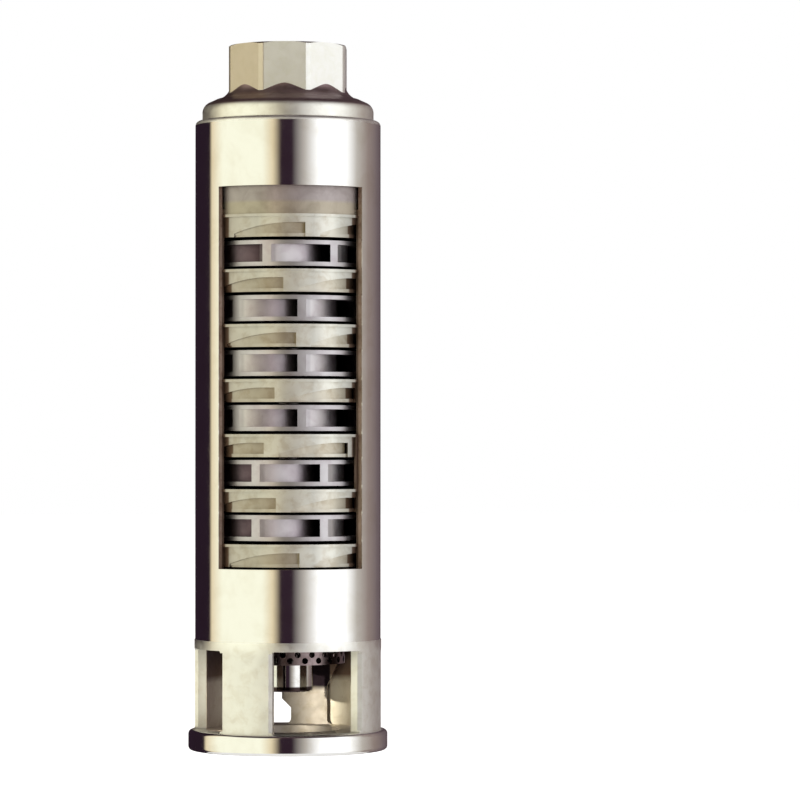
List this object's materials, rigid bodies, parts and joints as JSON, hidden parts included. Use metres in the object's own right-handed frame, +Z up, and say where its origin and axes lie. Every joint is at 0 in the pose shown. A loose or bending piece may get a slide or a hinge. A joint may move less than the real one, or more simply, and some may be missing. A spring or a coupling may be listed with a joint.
{
  "type": "borehole submersible pump",
  "caption": "Multistage borehole pump end with a viewing window cut in its shell, an open suction cage with motor flange, and an octagonal threaded outlet.",
  "frame": {"origin": "centre of the base flange's lower face, where the shaft's axis meets the motor", "axes": "+Z up the shaft to the outlet; the viewing window faces -Y"},
  "size_m": [0.147, 0.147, 0.5196],
  "materials": {
    "polished_steel": "polished stainless tube",
    "blasted_steel": "bead-blasted stainless casting with a polished flange rim",
    "cast_steel": "bead-blasted stainless casting",
    "bowl_casting": "as-cast stainless, satin",
    "impeller_steel": "smooth cast stainless",
    "ring_steel": "turned stainless, satin",
    "coupling_steel": "ground and polished",
    "strainer_sheet": "perforated stainless sheet",
    "turned_steel": "turned stainless",
    "bearing_rubber": "water-lubricated nitrile rubber",
    "seal_rubber": "nitrile rubber"
  },
  "bodies": {
    "casing": {"suction_bracket": "blasted_steel", "strainer": "strainer_sheet", "shell": "polished_steel", "bracket_seal": "seal_rubber", "head_seal": "seal_rubber", "inlet_bowl": "bowl_casting", "lower_bearing": "bearing_rubber", "bowl_1": "bowl_casting", "bowl_2": "bowl_casting", "bowl_3": "bowl_casting", "bowl_4": "bowl_casting", "bowl_5": "bowl_casting", "bowl_6": "bowl_casting", "bowl_7": "bowl_casting", "wear_ring_1": "bearing_rubber", "wear_ring_2": "bearing_rubber", "wear_ring_3": "bearing_rubber", "wear_ring_4": "bearing_rubber", "wear_ring_5": "bearing_rubber", "wear_ring_6": "bearing_rubber", "wear_ring_7": "bearing_rubber", "bowl_bearing_1": "bearing_rubber", "bowl_bearing_2": "bearing_rubber", "bowl_bearing_3": "bearing_rubber", "bowl_bearing_4": "bearing_rubber", "bowl_bearing_5": "bearing_rubber", "bowl_bearing_6": "bearing_rubber", "bowl_bearing_7": "bearing_rubber", "top_ring": "ring_steel", "discharge_head": "cast_steel", "valve_seat": "turned_steel", "seat_snap_ring": "turned_steel", "valve_guide": "turned_steel"},
    "rotor": {"shaft": "turned_steel", "coupling": "coupling_steel", "coupling_pin": "turned_steel", "lower_sleeve": "turned_steel", "impeller_1": "impeller_steel", "impeller_2": "impeller_steel", "impeller_3": "impeller_steel", "impeller_4": "impeller_steel", "impeller_5": "impeller_steel", "impeller_6": "impeller_steel", "impeller_7": "impeller_steel", "sleeve_1": "turned_steel", "sleeve_2": "turned_steel", "sleeve_3": "turned_steel", "sleeve_4": "turned_steel", "sleeve_5": "turned_steel", "sleeve_6": "turned_steel", "sleeve_7": "turned_steel", "top_washer": "turned_steel", "shaft_nut": "turned_steel"},
    "valve": {"valve_poppet": "turned_steel", "poppet_seal": "seal_rubber", "valve_spring": "turned_steel"}
  },
  "joints": [
    {"name": "rotor_spin", "type": "hinge", "parent": "casing", "child": "rotor", "pos_m": [0, 0, 0.25], "axis": [0, 0, 1], "continuous": true},
    {"name": "valve_lift", "type": "slide", "parent": "casing", "child": "valve", "axis": [0, 0, 1], "range_m": [0, 0.012], "stiffness_N_per_m": 250, "springref_m": -0.01, "deforming": ["valve_spring"]}
  ]
}
